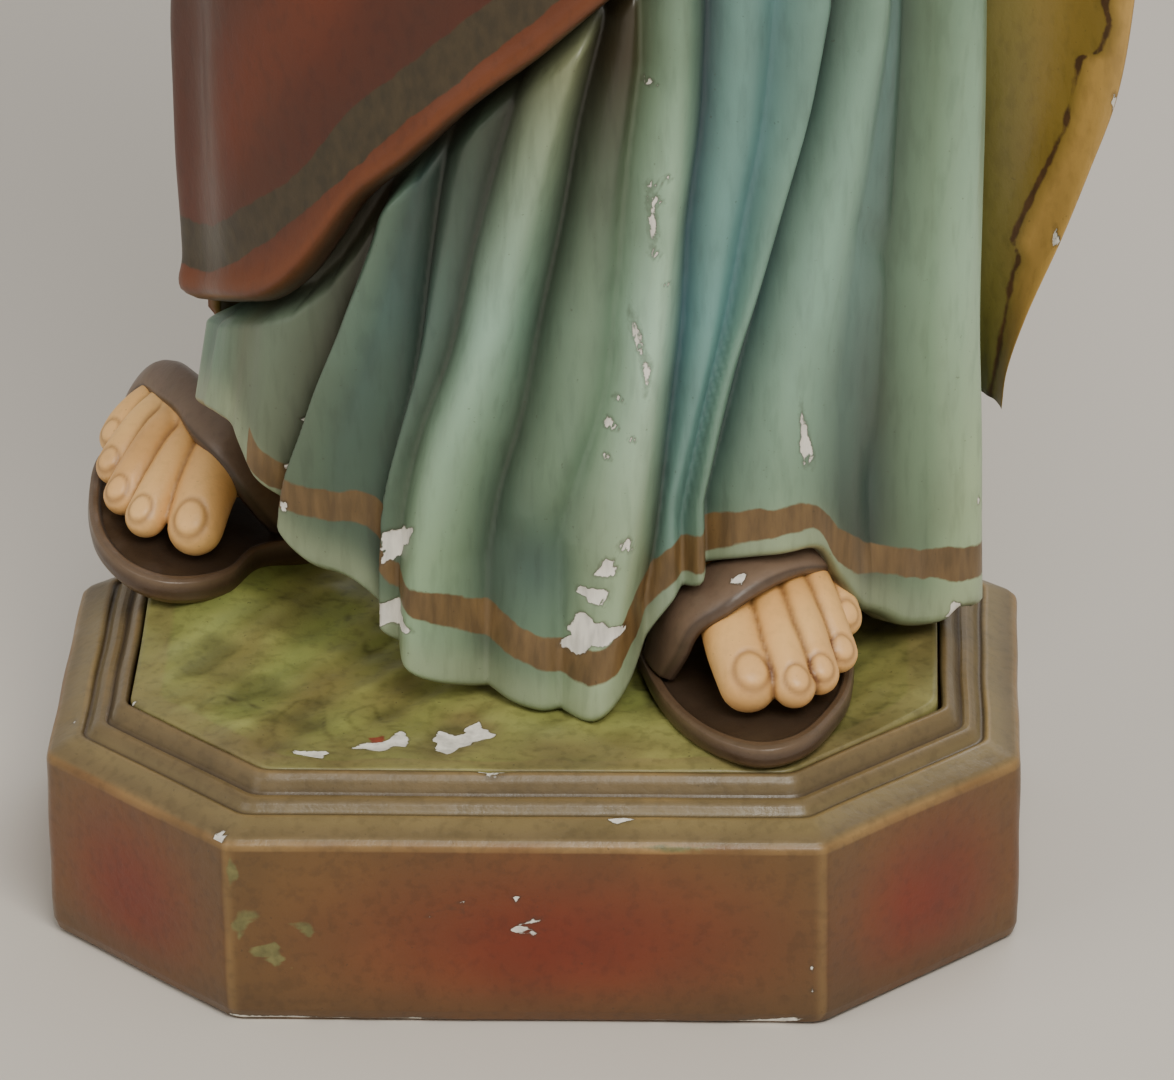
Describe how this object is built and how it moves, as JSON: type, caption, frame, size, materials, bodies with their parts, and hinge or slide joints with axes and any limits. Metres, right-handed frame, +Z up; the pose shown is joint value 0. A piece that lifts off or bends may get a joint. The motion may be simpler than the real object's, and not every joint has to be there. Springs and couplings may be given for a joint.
{
  "type": "madonna statue",
  "caption": "Standing painted plaster Madonna with veil, pleated robe and draped mantle, on an octagonal stepped plinth with sandalled feet.",
  "frame": {"origin": "centre of the octagonal plinth's underside, on the surface the statue stands on", "axes": "+Z up the figure, -Y out of its front, +X towards the figure's left hand"},
  "size_m": [0.2292, 0.2057, 0.6635],
  "materials": {
    "robe_paint": "satin oil paint on plaster",
    "mantle_paint": "satin oil paint on plaster",
    "lining_paint": "satin oil paint on plaster",
    "skin_paint": "satin oil paint on plaster",
    "hair_paint": "satin oil paint on plaster",
    "veil_paint": "satin oil paint on plaster",
    "sandal_paint": "satin oil paint on plaster",
    "plinth_paint": "bronze and red paint on plaster",
    "turf_paint": "mottled green paint on plaster",
    "raw_plaster": "bare cast plaster",
    "iron": "dull, lightly rusted",
    "batten_wood": "sawn"
  },
  "bodies": {
    "root": {"plinth_casting": "plinth_paint", "turf_ground": "turf_paint", "right_foot": "skin_paint", "left_foot": "skin_paint", "right_sandal_sole": "sandal_paint", "left_sandal_sole": "sandal_paint", "right_sandal_strap": "sandal_paint", "left_sandal_strap": "sandal_paint", "robe_skirt": "robe_paint", "girdle": "lining_paint", "robe_bodice": "robe_paint", "right_sleeve": "robe_paint", "left_sleeve": "robe_paint", "right_hand": "skin_paint", "left_hand": "skin_paint", "right_hand_pin": "iron", "left_hand_pin": "iron", "mantle_front": "mantle_paint", "mantle_back": "mantle_paint", "mantle_left_fall": "lining_paint", "mantle_shoulders": "mantle_paint", "head": "skin_paint", "neck_dowel": "iron", "hair": "hair_paint", "veil": "veil_paint", "armature_rod": "iron", "base_batten": "batten_wood", "right_plaster_dab": "raw_plaster", "left_plaster_dab": "raw_plaster"}
  },
  "joints": []
}
